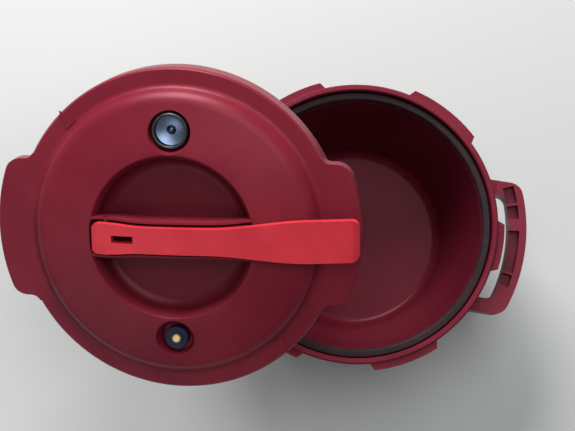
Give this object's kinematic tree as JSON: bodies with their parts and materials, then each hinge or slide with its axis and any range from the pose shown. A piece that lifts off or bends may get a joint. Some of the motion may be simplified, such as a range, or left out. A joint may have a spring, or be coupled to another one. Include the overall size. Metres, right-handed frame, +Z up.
{
  "type": "bayonet-lid pressure cooker",
  "caption": "Round moulded pressure cooker with two side handles, a bayonet lid, a locking lever, a weighted regulator and a pressure indicator.",
  "frame": {"origin": "centre of the pot's flat bottom face", "axes": "+Z up along the pot's axis; +X through the right-hand handle; the lid is held open, leaning, above the -X side of the pot"},
  "size_m": [0.4236, 0.2747, 0.2535],
  "materials": {
    "moulded_maroon": "satin, finely textured moulded plastic",
    "pot_maroon": "satin outside, glossy inside",
    "lever_red": "satin moulded plastic",
    "steel": "turned",
    "seal_silicone": "matt",
    "valve_black": "satin",
    "regulator_blue": "satin, slate blue",
    "bush_navy": "matt silicone",
    "pin_cream": "glossy cream yellow"
  },
  "bodies": {
    "pot": {"pot_bowl": "pot_maroon", "handle_right": "pot_maroon", "handle_left": "pot_maroon", "handle_screws_right": "steel", "handle_screws_left": "steel"},
    "seal": {"seal_ring": "seal_silicone"},
    "ball": {"regulator_ball": "steel"},
    "lid": {"lid_shell": "moulded_maroon", "lever_pin": "steel", "regulator_tube": "steel", "regulator_gasket": "seal_silicone", "regulator_nut": "steel", "regulator_housing": "valve_black", "regulator_shield": "valve_black", "indicator_bush": "bush_navy", "indicator_collar": "valve_black"},
    "lever": {"lever": "lever_red", "lever_latch": "steel"},
    "weight": {"regulator_weight": "regulator_blue"},
    "indicator": {"indicator_pin": "pin_cream", "indicator_clip": "steel"}
  },
  "joints": [
    {"name": "lid_turn", "type": "hinge", "parent": "pot", "child": "seal", "pos_m": [0, 0, 0.112], "axis": [0, 0, -1], "range_deg": [0, 29.07]},
    {"name": "lid_carry", "type": "hinge", "parent": "seal", "child": "ball", "pos_m": [-0.11941, 0.04064, 0.15597], "axis": [-0.3638, 0.9305, -0.0415], "range_deg": [0, 128.68]},
    {"name": "lid_level", "type": "hinge", "parent": "ball", "child": "lid", "pos_m": [-0.1517, 0.03171, 0.23878], "axis": [-0.0903, 0.9942, 0.0578], "range_deg": [-122.25, 0]},
    {"name": "lever_lift", "type": "hinge", "parent": "lid", "child": "lever", "pos_m": [-0.18941, -0.05316, 0.21419], "axis": [0.1559, -0.918, -0.3648], "range_deg": [0, 68]},
    {"name": "weight_lift", "type": "slide", "parent": "lid", "child": "weight", "axis": [-0.0879, -0.3807, 0.9205], "range_m": [0, 0.0024]},
    {"name": "indicator_rise", "type": "slide", "parent": "lid", "child": "indicator", "axis": [-0.0879, -0.3807, 0.9205], "range_m": [0, 0.0045]}
  ],
  "couplings": [
    {"joint": "lid_level", "follows": "lid_carry", "ratio": -0.94991}
  ]
}
